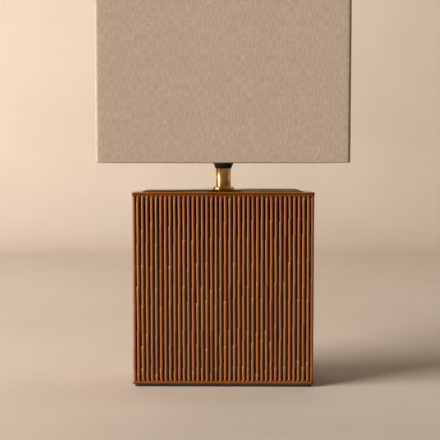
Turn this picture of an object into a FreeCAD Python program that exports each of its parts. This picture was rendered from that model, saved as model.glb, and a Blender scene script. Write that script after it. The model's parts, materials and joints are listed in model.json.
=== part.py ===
import FreeCAD, Part
import math
import os

# A table lamp with a slab-shaped body of glazed ceramic, ribbed upright like a screen of
# reeds, a short brass neck, a black screw lampholder, a bulb and a rectangular linen shade.
#
# Lengths are in millimetres. The origin is the middle of the felt's underside, on which the
# lamp stands. +Z is up, the broad front faces -Y, and X runs along the broad face.

# Ceramic body
body_width = 264.0
body_depth = 100.0
body_height = 280.0  # from the foot rim's underside to the top rim's upper face
body_wall = 5.0  # ceramic behind the ribs
top_wall = 8.0  # ceramic under the flat of the crown
front_ribs = 38  # on each broad face, between the corner reeds
side_ribs = 14  # on each narrow face
rib_radius = 2.3
rim_proud = 0.25  # the rims stand out past the ribs by this
rim_height = 5.2
rim_corner = 4.0
rim_round = 2.0
rim_round_share = 0.45  # the rounding takes at most this share of the rim's height
crown_height = 3.4
crown_inset = 11.0  # from the rim's outer face to the foot of the crown
crown_slope = 8.0  # width of the sloping margin round the flat
crown_corner = 12.0
cavity_corner = 6.0
ledge = 2.5  # step inside the foot that the base board is glued against

# Base
felt_thickness = 3.5
felt_inset = 3.0
felt_corner = 4.0
board_thickness = 6.0
board_clearance = 0.5
board_corner = 8.0

# Cable entry, low in the back
cable_height = 30.0
cable_radius = 3.6  # of the way through, for a round flex 7 mm thick
sleeve_radius = 5.0  # of the grommet where it passes the ceramic
grommet_flange_radius = 8.0
grommet_flange_thickness = 1.6
grommet_flange_bevel = 1.0
grommet_lip_radius = 6.2
grommet_lip_thickness = 1.8
grommet_clearance = 0.1
boss_margin = 1.2  # flat ceramic left round the grommet's flange
boss_depth = 1.0  # of the flat below the tips of the ribs

# Brass neck
flange_radius = 16.3
flange_height = 3.6
flange_edge = 1.2  # upright edge under the dome
flange_land = 1.1  # level ring between the dome and the tube
tube_radius = 11.2
tube_wall = 1.0
tube_length = 27.2
spigot_height = 1.5
spigot_clearance = 0.1

# Hollow threaded rod that clamps the neck and the lampholder to the body
rod_radius = 5.0
rod_bore = 3.6
rod_hole_clearance = 0.5  # where it passes the ceramic and the flange
thread_clearance = 0.1
rod_tail = 3.0  # thread showing under the nut
cushion_radius = 19.0
cushion_thickness = 2.0
washer_radius = 17.0
washer_thickness = 2.0
lock_washer_radius = 9.0
lock_washer_thickness = 1.0
lock_teeth = 10
lock_tooth_depth = 1.4
nut_flats = 14.0
nut_height = 5.0

# Lampholder
cap_foot_radius = 12.0
cap_cone_radius = 17.4
cap_cone_height = 14.0
cap_radius = 20.4
cap_flare = 3.6  # height of the flare between the cone and the rim
cap_height = 26.5
cap_wall = 2.2
cap_collar_radius = 9.0
cap_collar_height = 9.0
lock_screw_radius = 1.5
lock_screw_length = 6.0
lock_screw_height = 5.0
lock_screw_slot = 0.5
lock_screw_slot_depth = 0.8
insert_clearance = 0.4
insert_flange = 5.5  # height of its wide upper part
insert_height = 14.0
insert_body_radius = 12.5
terminal_radius = 2.6
terminal_height = 5.0
terminal_offset = 8.0
terminal_slot = 0.8
terminal_slot_depth = 1.2
contact_thickness = 0.6
contact_width = 6.0
contact_rise = 2.4
contact_foot = 4.0
contact_flat = 5.8  # level length under the bulb's tip
contact_reach = 9.0  # from the axis to the end of the centre contact
side_contact_width = 5.0
side_contact_height = 16.0
side_contact_foot = 3.5
shoulder_radius = 22.8
shoulder_thickness = 2.0
skirt_radius = 19.8
skirt_height = 28.5
skirt_pitch = 2.6
skirt_thread = 0.5  # depth of the thread
skirt_crest = 0.8
skirt_flank = 0.5  # height of a flank
socket_radius = 14.4

# Clamp ring that holds the shade down on the lampholder's shoulder
ring_radius = 27.0
ring_hub_radius = 24.0
ring_height = 8.0
ring_flange_height = 3.2
ring_clearance = 0.3
ring_notches = 16
ring_notch_radius = 1.6

# Bulb
screw_radius = 13.2
screw_pitch = 3.6
screw_turns = 5
screw_depth = 0.8
screw_wall = 0.5
screw_collar = 2.0  # plain band above the thread
socket_thread_clearance = 0.3
contact_gap = 0.1  # between the bulb's tip and the centre contact
bulb_tip_radius = 4.8
bulb_tip_height = 1.2
bulb_tip_bevel = 0.5
insulator_height = 4.0
insulator_margin = 1.0  # of its foot round the tip
collar_neck_radius = 13.8
collar_neck_height = 4.5
collar_radius = 22.0
collar_height = 20.0
collar_wall = 1.5
bulb_radius = 30.0
bulb_height = 62.0  # of the envelope, above the collar
envelope_wall = 1.2
led_board_thickness = 1.6
led_board_clearance = 0.4
led_count = 8
led_size = 3.5
led_height = 0.8
led_circle = 13.0
driver_thickness = 1.2
driver_width = 17.0
driver_height = 24.0

# Shade
shade_width = 354.0
shade_depth = 180.0
shade_height = 240.0
shade_corner = 8.0
least_corner = 0.5  # of any layer inside the shade's corner
linen = 0.6
lining = 0.5
glue_line = 0.05
turn_in = 12.0  # height of the linen that is rolled round the wires to the inside
wire_radius = 1.5
fitter_drop = 20.7  # from the shade's lower edge up to the fitter ring's underside
fitter_margin = 2.0  # of the fitter ring beyond the clamp ring
fitter_thickness = 2.0
fitter_clearance = 0.5
arm_weld = 1.2  # length of an arm on the fitter ring
arm_butt = 0.6  # from an arm's end to the middle of the lower wire that it is welded to
arm_flat = 10.0  # level length of an arm beside the fitter ring
arm_foot = 13.0  # level length of an arm beside the lower wire
arm_bend = 12.0
slit_clearance = 0.4

# Levels above the table
body_foot = felt_thickness
body_top = body_foot + body_height
crown_top = body_top + crown_height
ceiling = crown_top - top_wall
washer_top = ceiling - cushion_thickness
lock_top = washer_top - washer_thickness
nut_top = lock_top - lock_washer_thickness
rod_foot = nut_top - nut_height - rod_tail
neck_foot = crown_top + flange_height
holder_foot = neck_foot + tube_length
cap_top = holder_foot + cap_height
insert_foot = cap_top - insert_height
shoulder_top = cap_top + shoulder_thickness
fitter_top = shoulder_top + fitter_thickness
shade_foot = shoulder_top - fitter_drop
shade_top = shade_foot + shade_height
bulb_foot = cap_top + contact_rise + contact_thickness + contact_gap
screw_foot = bulb_foot + bulb_tip_height + insulator_height
screw_top = screw_foot + screw_turns * screw_pitch + screw_collar
collar_top = screw_top + collar_height

# The core is the block that the ribs stand on, and the cavity is the hollow inside it
core_width = body_width - 2 * (rim_proud + rib_radius)
core_depth = body_depth - 2 * (rim_proud + rib_radius)
cavity_width = core_width - 2 * body_wall
cavity_depth = core_depth - 2 * body_wall
boss_face = core_depth / 2 + rib_radius - boss_depth

# Radii of what goes round the rod and inside the lampholder's cap
rod_hold = rod_radius + thread_clearance
insert_radius = cap_radius - cap_wall - insert_clearance

# Layers of the shade's wall, counted inwards from the linen's outer face
lining_inset = linen + glue_line
wire_inset = lining_inset + lining + glue_line
roll_inset = wire_inset + 2 * wire_radius + glue_line
wire_level = linen + glue_line + wire_radius
roll_height = wire_level + wire_radius + glue_line + linen

overrun = 1.0  # by which a cutting shape passes the face that it starts from

V = FreeCAD.Vector
UP = V(0, 0, 1)


def line(start, end):
    return Part.LineSegment(start, end).toShape()


def arc(start, middle, end):
    return Part.Arc(start, middle, end).toShape()


def rounded_outline(width, depth, radius, z):
    """A rectangle about the axis at height z, with its corners rounded."""
    bow = radius * (1 - math.sqrt(0.5))
    x, y = width / 2, depth / 2
    corners = [(1, -1), (1, 1), (-1, 1), (-1, -1)]
    arcs = []
    for sx, sy in corners:
        on_end = V(sx * x, sy * (y - radius), z)
        on_side = V(sx * (x - radius), sy * y, z)
        middle = V(sx * (x - bow), sy * (y - bow), z)
        if sx * sy < 0:
            arcs.append(arc(on_side, middle, on_end))
        else:
            arcs.append(arc(on_end, middle, on_side))
    edges = []
    for one, other in zip(arcs, arcs[1:] + arcs[:1]):
        edges.append(one)
        edges.append(line(one.Vertexes[-1].Point, other.Vertexes[0].Point))
    return Part.Wire(edges)


def rounded_block(width, depth, radius, low, high):
    outline = rounded_outline(width, depth, radius, low)
    return Part.Face(outline).extrude(V(0, 0, high - low))


def disc(radius, low, high, x=0.0, y=0.0):
    return Part.makeCylinder(radius, high - low, V(x, y, low), UP)


def ring(outer, inner, low, high):
    return disc(outer, low, high).cut(disc(inner, low, high))


def block(low, high):
    size = V(*high) - V(*low)
    return Part.makeBox(size.x, size.y, size.z, V(*low))


def turned(steps, foot=0.0):
    """A solid of revolution about Z. A step is the next point (r, z) of its half section, or
    a pair of points for an arc that goes through the first to the second."""
    first = here = V(steps[0][0], 0, foot + steps[0][1])
    edges = []
    for step in steps[1:] + [steps[0]]:
        if isinstance(step[0], tuple):
            middle, end = [V(r, 0, foot + z) for r, z in step]
            edges.append(arc(here, middle, end))
        else:
            end = V(step[0], 0, foot + step[1])
            edges.append(line(here, end))
        here = end
    assert (here - first).Length < 1e-6
    return Part.Face(Part.Wire(edges)).revolve(V(0, 0, 0), UP, 360)


def upright_arc(start, end):
    """The middle point (r, z) of the arc that leaves start upright and goes to end."""
    run, rise = end[0] - start[0], end[1] - start[1]
    centre = (run**2 + rise**2) / (2 * run)
    out = V(run - 2 * centre, rise, 0).normalize() * abs(centre)
    return (start[0] + centre + out.x, start[1] + out.y)


def bent(points, bend):
    """A path of straight runs through the points, joined by arcs of radius bend."""
    edges = []
    here = points[0]
    for before, corner, after in zip(points, points[1:], points[2:]):
        back = (before - corner).normalize()
        ahead = (after - corner).normalize()
        half = back.getAngle(ahead) / 2
        reach = bend / math.tan(half)
        middle = corner + (back + ahead).normalize() * (bend / math.sin(half) - bend)
        edges.append(line(here, corner + back * reach))
        edges.append(arc(corner + back * reach, middle, corner + ahead * reach))
        here = corner + ahead * reach
    edges.append(line(here, points[-1]))
    return Part.Wire(edges)


def wire(path, start, heading):
    """A round wire of the frame's thickness along a path."""
    section = Part.Wire([Part.makeCircle(wire_radius, start, heading)])
    rod = path.makePipeShell([section], True, False)
    length_ratio = rod.Volume / (math.pi * wire_radius**2 * path.Length)
    print("wire", round(path.Length, 1), "mm, volume over section times length", round(length_ratio, 4))
    return rod


def ribbed_outline(z):
    """The body's outline: half-round ribs stand on the faces of the core, and a three-quarter
    round reed of the same radius stands on each of its corners."""
    x, y = core_width / 2, core_depth / 2
    corners = [V(-x, -y, z), V(x, -y, z), V(x, y, z), V(-x, y, z)]
    counts = [front_ribs, side_ribs, front_ribs, side_ribs]
    edges = []
    for start, end, count in zip(corners, corners[1:] + corners[:1], counts):
        along = (end - start).normalize()
        out = along.cross(UP)
        step = (end - start).Length / (count + 1)
        here = start + along * rib_radius
        for rib in range(1, count + 1):
            centre = start + along * (step * rib)
            foot = centre - along * rib_radius
            tip = centre + along * rib_radius
            edges.append(line(here, foot))
            edges.append(arc(foot, centre + out * rib_radius, tip))
            here = tip
        leave = end - along * rib_radius
        diagonal = (along + out).normalize()
        edges.append(line(here, leave))
        edges.append(arc(leave, end + diagonal * rib_radius, end - out * rib_radius))
    return Part.Wire(edges)


def rim(low):
    """One of the body's two rims, its outer edges rounded."""
    plain = rounded_block(body_width, body_depth, rim_corner, low, low + rim_height)
    level = [edge for edge in plain.Edges if edge.BoundBox.ZLength < 1e-6]
    return plain.makeFillet(min(rim_round, rim_round_share * rim_height), level)


def ceramic_body():
    """One hollow casting: ribs between two rims, a crowned top, and a ledge for the board."""
    ribs_low = body_foot + rim_height / 2
    ribs_high = body_top - rim_height / 2
    ribs = Part.Face(ribbed_outline(ribs_low)).extrude(V(0, 0, ribs_high - ribs_low))
    foot_width = body_width - 2 * crown_inset
    foot_depth = body_depth - 2 * crown_inset
    flat_width = foot_width - 2 * crown_slope
    flat_depth = foot_depth - 2 * crown_slope
    crown_base = rounded_outline(foot_width, foot_depth, crown_corner, body_top)
    flat_corner = crown_corner * flat_depth / foot_depth
    crown_flat = rounded_outline(flat_width, flat_depth, flat_corner, crown_top)
    crown = Part.makeLoft([crown_base, crown_flat], True, True)
    boss_radius = grommet_flange_radius + boss_margin
    middle = V(0, cavity_depth / 2, cable_height)
    boss = Part.makeCylinder(boss_radius, boss_face - middle.y, middle, V(0, 1, 0))
    above_boss = V(0, boss_face, cable_height)
    trimmed = Part.makeCylinder(boss_radius, body_depth, above_boss, V(0, 1, 0))
    cavity = rounded_block(cavity_width, cavity_depth, cavity_corner, body_foot, ceiling)
    seat_width = cavity_width + 2 * ledge
    seat_depth = cavity_depth + 2 * ledge
    seat_top = body_foot + board_thickness
    seat = rounded_block(seat_width, seat_depth, board_corner, body_foot, seat_top)
    cable_hole = Part.makeCylinder(sleeve_radius + grommet_clearance, body_depth, middle, V(0, 1, 0))
    rod_hole = disc(rod_radius + rod_hole_clearance, ceiling - overrun, crown_top + overrun)
    body = ribs.fuse([rim(body_foot), rim(body_top - rim_height), crown])
    body = body.cut(trimmed).fuse(boss)
    return body.cut([cavity, seat, cable_hole, rod_hole])


def base_board():
    width = cavity_width + 2 * (ledge - board_clearance)
    depth = cavity_depth + 2 * (ledge - board_clearance)
    corner = board_corner - board_clearance
    return rounded_block(width, depth, corner, body_foot, body_foot + board_thickness)


def base_felt():
    width = body_width - 2 * felt_inset
    depth = body_depth - 2 * felt_inset
    return rounded_block(width, depth, felt_corner, 0, felt_thickness)


def cable_grommet():
    """Flange outside, sleeve through the ceramic and a lip inside, about the cable's way."""
    inside = cavity_depth / 2
    steps = [(cable_radius, inside - grommet_lip_thickness)]
    steps.append((sleeve_radius, inside - grommet_lip_thickness))
    steps.append((grommet_lip_radius, inside))
    steps.append((sleeve_radius, inside))
    steps.append((sleeve_radius, boss_face))
    steps.append((grommet_flange_radius, boss_face))
    face = boss_face + grommet_flange_thickness
    steps.append((grommet_flange_radius, face - grommet_flange_bevel))
    steps.append((grommet_flange_radius - grommet_flange_bevel, face))
    steps.append((cable_radius, face))
    about_z = turned(steps)
    about_z.rotate(V(0, 0, 0), V(1, 0, 0), -90)
    about_z.translate(V(0, 0, cable_height))
    return about_z


def neck_flange():
    """A low dome of turned brass with a spigot that centres the tube."""
    land = tube_radius + flange_land
    run, rise = flange_radius - land, flange_height - flange_edge
    shoulder = (land + run * math.sqrt(0.5), flange_edge + rise * math.sqrt(0.5))
    bore = rod_radius + rod_hole_clearance
    spigot = tube_radius - tube_wall - spigot_clearance
    steps = [(bore, 0), (flange_radius, 0), (flange_radius, flange_edge)]
    steps.append((shoulder, (land, flange_height)))
    steps.append((spigot, flange_height))
    steps.append((spigot, flange_height + spigot_height))
    steps.append((bore, flange_height + spigot_height))
    return turned(steps, crown_top)


def neck_tube():
    return ring(tube_radius, tube_radius - tube_wall, neck_foot, holder_foot)


def hollow_rod():
    return ring(rod_radius, rod_bore, rod_foot, holder_foot + cap_collar_height)


def rod_cushion():
    return ring(cushion_radius, rod_hold, washer_top, ceiling)


def rod_washer():
    return ring(washer_radius, rod_hold, lock_top, washer_top)


def rod_lock_washer():
    """A washer whose outer edge is cut into teeth."""
    plain = ring(lock_washer_radius, rod_hold, nut_top, lock_top)
    slots = []
    for tooth in range(lock_teeth):
        turn = 2 * math.pi * tooth / lock_teeth
        x, y = lock_washer_radius * math.cos(turn), lock_washer_radius * math.sin(turn)
        slots.append(disc(lock_tooth_depth, nut_top, lock_top, x, y))
    return plain.cut(slots)


def rod_nut():
    corner_radius = nut_flats / math.sqrt(3)
    low = nut_top - nut_height
    corners = []
    for side in range(6):
        turn = math.pi * side / 3
        corners.append(V(corner_radius * math.cos(turn), corner_radius * math.sin(turn), low))
    hexagon = Part.Face(Part.makePolygon(corners + corners[:1])).extrude(V(0, 0, nut_height))
    return hexagon.cut(disc(rod_hold, low, nut_top))


def holder_cap():
    """Cone, flare and rim outside; inside, a collar on the rod and a ledge for the insert."""
    flare_top = cap_cone_height + cap_flare
    cone_top = (cap_cone_radius, cap_cone_height)
    rim_foot = (cap_radius, flare_top)
    seat = cap_height - insert_flange
    inner = cap_radius - cap_wall
    ledge_radius = insert_body_radius + insert_clearance
    steps = [(rod_hold, 0), (cap_foot_radius, 0), cone_top]
    steps.append((upright_arc(rim_foot, cone_top), rim_foot))
    steps.append((cap_radius, cap_height))
    steps.append((inner, cap_height))
    steps.append((inner, seat))
    steps.append((ledge_radius, seat))
    steps.append((ledge_radius, cap_height - insert_height - insert_clearance))
    steps.append((cap_collar_radius, cap_collar_height))
    steps.append((rod_hold, cap_collar_height))
    cap = turned(steps, holder_foot)
    start = V(0, 0, holder_foot + lock_screw_height)
    hole = Part.makeCylinder(lock_screw_radius + thread_clearance, 2 * cap_radius, start, V(0, 1, 0))
    return cap.cut(hole)


def holder_lock_screw():
    """A short slotted screw in the side of the cap that keeps it from turning on the rod."""
    start = V(0, rod_hold, holder_foot + lock_screw_height)
    screw = Part.makeCylinder(lock_screw_radius, lock_screw_length, start, V(0, 1, 0))
    end = rod_hold + lock_screw_length
    half = lock_screw_slot / 2
    low = (-2 * lock_screw_radius, end - lock_screw_slot_depth, start.z - half)
    high = (2 * lock_screw_radius, end + overrun, start.z + half)
    return screw.cut(block(low, high))


def terminal_pair(radius, low, high):
    places = [(0, -terminal_offset), (0, terminal_offset)]
    return [disc(radius, low, high, x, y) for x, y in places]


def holder_insert():
    """The insulating block that carries the contacts, with a well over each terminal."""
    body = disc(insert_body_radius, insert_foot, cap_top - insert_flange)
    body = body.fuse(disc(insert_radius, cap_top - insert_flange, cap_top))
    wells = terminal_pair(terminal_radius + thread_clearance, insert_foot, insert_foot + terminal_height)
    return body.cut(wells)


def holder_terminals():
    """Two brass screws, slotted, in the underside of the insert."""
    top = insert_foot + terminal_height
    screws = Part.makeCompound(terminal_pair(terminal_radius, insert_foot, top))
    slots = []
    half = terminal_slot / 2
    for side in (-terminal_offset, terminal_offset):
        low = (-terminal_radius, side - half, insert_foot - overrun)
        high = (terminal_radius, side + half, insert_foot + terminal_slot_depth)
        slots.append(block(low, high))
    return screws.cut(slots)


def strip(points, width):
    """A bent strip: its path in the YZ plane, thickened upwards and widened along X."""
    lower = [V(-width / 2, y, z) for y, z in points]
    upper = [p + V(0, 0, contact_thickness) for p in reversed(lower)]
    outline = Part.makePolygon(lower + upper + lower[:1])
    return Part.Face(outline).extrude(V(width, 0, 0))


def holder_centre_contact():
    """A spring strip, fixed to the insert at one side, that rises under the bulb's tip."""
    flat = contact_flat / 2
    points = [(-contact_reach, cap_top), (-contact_reach + contact_foot, cap_top)]
    points += [(-flat, cap_top + contact_rise), (flat, cap_top + contact_rise)]
    return strip(points, contact_width)


def holder_side_contact():
    """An upright strip beside the bulb's screw, with its foot on the insert."""
    face = screw_radius + socket_thread_clearance
    back = face + contact_thickness
    half = side_contact_width / 2
    foot = block((-half, back - side_contact_foot, cap_top), (half, back, cap_top + contact_thickness))
    upright = block((-half, face, cap_top), (half, back, cap_top + side_contact_height))
    return foot.fuse(upright).removeSplitter()


def holder_shell():
    """Shoulder, threaded skirt outside, and rounded screw threads inside."""
    crest = screw_radius + socket_thread_clearance
    turns = int(skirt_height / skirt_pitch)
    plain = (skirt_height - turns * skirt_pitch + skirt_pitch - skirt_crest) / 2 - skirt_flank
    steps = [(socket_radius, 0), (shoulder_radius, 0), (shoulder_radius, shoulder_thickness)]
    steps.append((skirt_radius - skirt_thread, shoulder_thickness))
    for turn in range(turns):
        z = shoulder_thickness + plain + turn * skirt_pitch
        steps.append((skirt_radius - skirt_thread, z))
        steps.append((skirt_radius, z + skirt_flank))
        steps.append((skirt_radius, z + skirt_flank + skirt_crest))
        steps.append((skirt_radius - skirt_thread, z + 2 * skirt_flank + skirt_crest))
    steps.append((skirt_radius - skirt_thread, shoulder_thickness + skirt_height))
    steps.append((socket_radius, shoulder_thickness + skirt_height))
    half = screw_pitch / 4
    for turn in reversed(range(screw_turns)):
        z = screw_foot - cap_top + turn * screw_pitch
        steps.append((socket_radius, z + half))
        steps.append(((crest, z), (socket_radius, z - half)))
    shell = turned(steps, cap_top)
    gap = side_contact_width / 2 + insert_clearance
    top = cap_top + side_contact_height + insert_clearance
    return shell.cut(block((-gap, 0, cap_top), (gap, socket_radius, top)))


def bulb_screw():
    """The thin screw shell: rounded thread outside, smooth inside."""
    root = screw_radius - screw_depth
    inner = root - screw_wall
    height = screw_top - screw_foot
    steps = [(inner, 0), (root, 0)]
    for turn in range(screw_turns):
        z = turn * screw_pitch
        steps.append(((screw_radius, z + screw_pitch / 2), (root, z + screw_pitch)))
    steps.append((screw_radius, screw_turns * screw_pitch))
    steps.append((screw_radius, height))
    steps.append((inner, height))
    return turned(steps, screw_foot)


def bulb_tip():
    steps = [(0, 0), (bulb_tip_radius - bulb_tip_bevel, 0), (bulb_tip_radius, bulb_tip_bevel)]
    steps += [(bulb_tip_radius, bulb_tip_height), (0, bulb_tip_height)]
    return turned(steps, bulb_foot)


def bulb_insulator():
    """The dark glass cone between the tip and the screw."""
    root = screw_radius - screw_depth
    height = insulator_height
    steps = [(0, 0), (bulb_tip_radius + insulator_margin, 0), (root, height), (0, height)]
    return turned(steps, bulb_foot + bulb_tip_height)


def bulb_collar():
    """The hollow plastic housing that carries the board with the light-emitting diodes: a neck,
    a flare that leaves it upright, and a lid, with an even wall."""
    run, rise = collar_radius - collar_neck_radius, collar_height - collar_neck_height
    bend = (run**2 + rise**2) / (2 * run)
    lid = collar_height - collar_wall
    neck_end = (collar_neck_radius, collar_neck_height)
    rim_end = (collar_radius, collar_height)
    inner_neck = (collar_neck_radius - collar_wall, collar_neck_height)
    inner_reach = math.sqrt((bend + collar_wall) ** 2 - (lid - collar_neck_height) ** 2)
    inner_rim = (collar_neck_radius + bend - inner_reach, lid)
    steps = [(inner_neck[0], 0), (collar_neck_radius, 0), neck_end]
    steps.append((upright_arc(neck_end, rim_end), rim_end))
    steps += [(0, collar_height), (0, lid), inner_rim]
    steps.append((upright_arc(inner_neck, inner_rim), inner_neck))
    return turned(steps, screw_top)


def bulb_driver_board():
    low = collar_top - collar_wall - driver_height
    half = driver_width / 2
    return block((-half, -driver_thickness / 2, low), (half, driver_thickness / 2, low + driver_height))


def bulb_led_board():
    radius = collar_radius - envelope_wall - led_board_clearance
    return disc(radius, collar_top, collar_top + led_board_thickness)


def bulb_leds():
    low = collar_top + led_board_thickness
    chips = []
    for number in range(led_count):
        chip = block((-led_size / 2, -led_size / 2, low), (led_size / 2, led_size / 2, low + led_height))
        chip.translate(V(led_circle, 0, 0))
        chip.rotate(V(0, 0, 0), UP, 360 * number / led_count)
        chips.append(chip)
    return Part.makeCompound(chips)


def globe_section(radius, foot, centre):
    """From a foot circle up a cone that runs smoothly into a sphere, to the sphere's top."""
    low = math.acos(radius / math.hypot(foot, centre)) - math.atan2(centre, foot)
    points = [(foot, 0)]
    for turn in (low, (low + math.pi / 2) / 2):
        points.append((radius * math.cos(turn), centre + radius * math.sin(turn)))
    return points + [(0, centre + radius)]


def bulb_envelope():
    """A frosted globe of even wall, open where it stands on the collar."""
    centre = bulb_height - bulb_radius
    outer = globe_section(bulb_radius, collar_radius, centre)
    inner = globe_section(bulb_radius - envelope_wall, collar_radius - envelope_wall, centre)
    steps = [inner[0], outer[0], outer[1], (outer[2], outer[3]), inner[3], (inner[2], inner[1])]
    return turned(steps, collar_top)


def shade_ring():
    """The clamp ring: a flange under a notched hub, about the threaded skirt."""
    bore = skirt_radius + ring_clearance
    steps = [(bore, 0), (ring_radius, 0), (ring_radius, ring_flange_height)]
    steps += [(ring_hub_radius, ring_flange_height), (ring_hub_radius, ring_height), (bore, ring_height)]
    body = turned(steps, fitter_top)
    low, high = fitter_top - overrun, fitter_top + ring_height + overrun
    notches = []
    for number in range(ring_notches):
        turn = 2 * math.pi * number / ring_notches
        x, y = ring_radius * math.cos(turn), ring_radius * math.sin(turn)
        notches.append(disc(ring_notch_radius, low, high, x, y))
    return body.cut(notches)


def wire_loop(level):
    """A closed rectangular wire that follows the inside of the lining."""
    inset = wire_inset + wire_radius
    width, depth = shade_width - 2 * inset, shade_depth - 2 * inset
    path = rounded_outline(width, depth, shade_corner - inset, level)
    edge = path.Edges[0]
    start = edge.valueAt(edge.FirstParameter)
    return wire(path, start, edge.tangentAt(edge.FirstParameter))


def shade_frame():
    """The fitter ring, four bent arms and the lower wire, welded into one piece."""
    inner = skirt_radius + fitter_clearance
    outer = ring_radius + fitter_margin
    high = shoulder_top + fitter_thickness / 2
    low = shade_foot + wire_level
    frame = ring(outer, inner, shoulder_top, fitter_top)
    inset = wire_inset + wire_radius
    arms = []
    for reach, way in ((shade_width / 2 - inset, V(1, 0, 0)), (shade_depth / 2 - inset, V(0, 1, 0))):
        for side in (way, way * -1):
            start = side * (outer - arm_weld)
            end = side * (reach - arm_butt)
            points = [start + UP * high, side * (outer + arm_flat) + UP * high]
            points += [side * (reach - arm_foot) + UP * low, end + UP * low]
            arms.append(wire(bent(points, arm_bend), points[0], side))
    return frame.fuse(arms + [wire_loop(low)])


def shade_wall(inset, thickness, low, high):
    """An upright wall that follows the shade's outline, with its outer face inset."""
    blocks = []
    for depth in (inset, inset + thickness):
        corner = max(shade_corner - depth, least_corner)
        blocks.append(rounded_block(shade_width - 2 * depth, shade_depth - 2 * depth, corner, low, high))
    return blocks[0].cut(blocks[1])


def rolled_edge(level, up):
    """Linen rolled round a wire and glued down inside, from level towards up (1 or -1)."""
    def wall(inset, thickness, start, end):
        low, high = sorted((level + up * start, level + up * end))
        return shade_wall(inset, thickness, low, high)

    under = wall(0, roll_inset + linen, 0, linen)
    beside = wall(roll_inset, linen, 0, roll_height)
    over = wall(wire_inset, roll_inset + linen - wire_inset, roll_height - linen, roll_height)
    glued = wall(wire_inset, linen, roll_height - linen, turn_in)
    return [under, beside, over, glued]


def shade_linen():
    """The linen cover, rolled in over both wires, with slits where the arms pass."""
    cover = shade_wall(0, linen, shade_foot, shade_top)
    cover = cover.fuse(rolled_edge(shade_foot, 1) + rolled_edge(shade_top, -1))
    gap = wire_radius + slit_clearance
    level = shade_foot + wire_level
    x, y = shade_width / 2 - wire_inset, shade_depth / 2 - wire_inset
    across = block((-x, -gap, level - wire_radius), (x, gap, level + gap))
    along = block((-gap, -y, level - wire_radius), (gap, y, level + gap))
    return cover.cut([across, along])


def shade_lining():
    clear = linen + glue_line
    return shade_wall(lining_inset, lining, shade_foot + clear, shade_top - clear)


def shade_top_wire():
    return wire_loop(shade_top - wire_level)


pieces = [
    ceramic_body, base_board, base_felt, cable_grommet,
    hollow_rod, rod_cushion, rod_washer, rod_lock_washer, rod_nut,
    neck_flange, neck_tube,
    holder_cap, holder_lock_screw, holder_insert, holder_terminals,
    holder_centre_contact, holder_side_contact, holder_shell,
    shade_ring, shade_frame, shade_top_wire, shade_lining, shade_linen,
    bulb_screw, bulb_insulator, bulb_tip, bulb_collar, bulb_driver_board,
    bulb_led_board, bulb_leds, bulb_envelope,
]

os.makedirs("parts", exist_ok=True)
for piece in pieces:
    shape = piece()
    assert shape.isValid(), piece.__name__
    shape.exportStep(os.path.join("parts", piece.__name__ + ".step"))
    box = shape.BoundBox
    print(f"{piece.__name__:22} {len(shape.Solids):2} solids {shape.Volume / 1000:9.2f} cm3"
          f"  x {box.XMin:7.1f} {box.XMax:6.1f}  y {box.YMin:6.1f} {box.YMax:6.1f}"
          f"  z {box.ZMin:6.1f} {box.ZMax:6.1f}")
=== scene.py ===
# %% [markdown]
# # A ribbed ceramic table lamp, finish by finish
#
# The lamp is a slab of glazed ceramic, ribbed like a screen of reeds, with a short brass neck,
# a black lampholder and a rectangular linen shade. Its solids come ready-made, at their real
# size. Here they get the surfaces and finishes that a camera sees. What a plain solid can't
# show is made again as a finer mesh in the same place, and the rest keeps its mesh and gets a
# material. Everything is in metres, with the origin under the middle of the lamp and Z up.

# %% Load the solids
import json
import math

import bpy
import numpy as np
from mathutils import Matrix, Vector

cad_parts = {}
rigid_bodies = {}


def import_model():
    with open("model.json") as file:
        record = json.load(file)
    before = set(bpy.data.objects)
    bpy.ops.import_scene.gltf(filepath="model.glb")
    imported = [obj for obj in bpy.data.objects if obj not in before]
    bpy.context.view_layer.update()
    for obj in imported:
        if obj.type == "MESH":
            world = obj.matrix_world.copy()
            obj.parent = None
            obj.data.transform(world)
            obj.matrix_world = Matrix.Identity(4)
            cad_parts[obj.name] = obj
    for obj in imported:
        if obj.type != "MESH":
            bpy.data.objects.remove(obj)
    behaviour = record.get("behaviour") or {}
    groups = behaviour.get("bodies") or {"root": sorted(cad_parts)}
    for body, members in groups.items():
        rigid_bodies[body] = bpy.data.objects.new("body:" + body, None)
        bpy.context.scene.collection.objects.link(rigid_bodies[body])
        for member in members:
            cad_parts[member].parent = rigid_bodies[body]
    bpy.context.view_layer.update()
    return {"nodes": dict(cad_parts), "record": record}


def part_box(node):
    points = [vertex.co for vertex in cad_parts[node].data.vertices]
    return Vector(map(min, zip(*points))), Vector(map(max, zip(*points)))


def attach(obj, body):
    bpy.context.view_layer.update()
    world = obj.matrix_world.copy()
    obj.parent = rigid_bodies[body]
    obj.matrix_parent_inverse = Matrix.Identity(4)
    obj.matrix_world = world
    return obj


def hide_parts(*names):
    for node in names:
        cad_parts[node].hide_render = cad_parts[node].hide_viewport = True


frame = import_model()
MM = 0.001

# %% [markdown]
# ## The camera
#
# A photograph's view can be rebuilt from a few measures: how far the camera stands, how high,
# how much it looks down and how long its lens is. A long lens from a distance keeps upright
# edges nearly parallel, as they are here. The lens is worked out from the size of one pixel of
# a picture 440 pixels wide, because that is how the view was measured.

# %% Camera
picture_width = 440  # pixels
focal_pixels = 871
orbit = math.radians(0.4)  # the camera stands a little to the right of the lamp's front
tilt = math.radians(3.5)  # it looks down by this
aim_left = math.radians(0.22)  # and past the lamp's axis by this
camera_distance = 1.300
camera_height = 0.320

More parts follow.
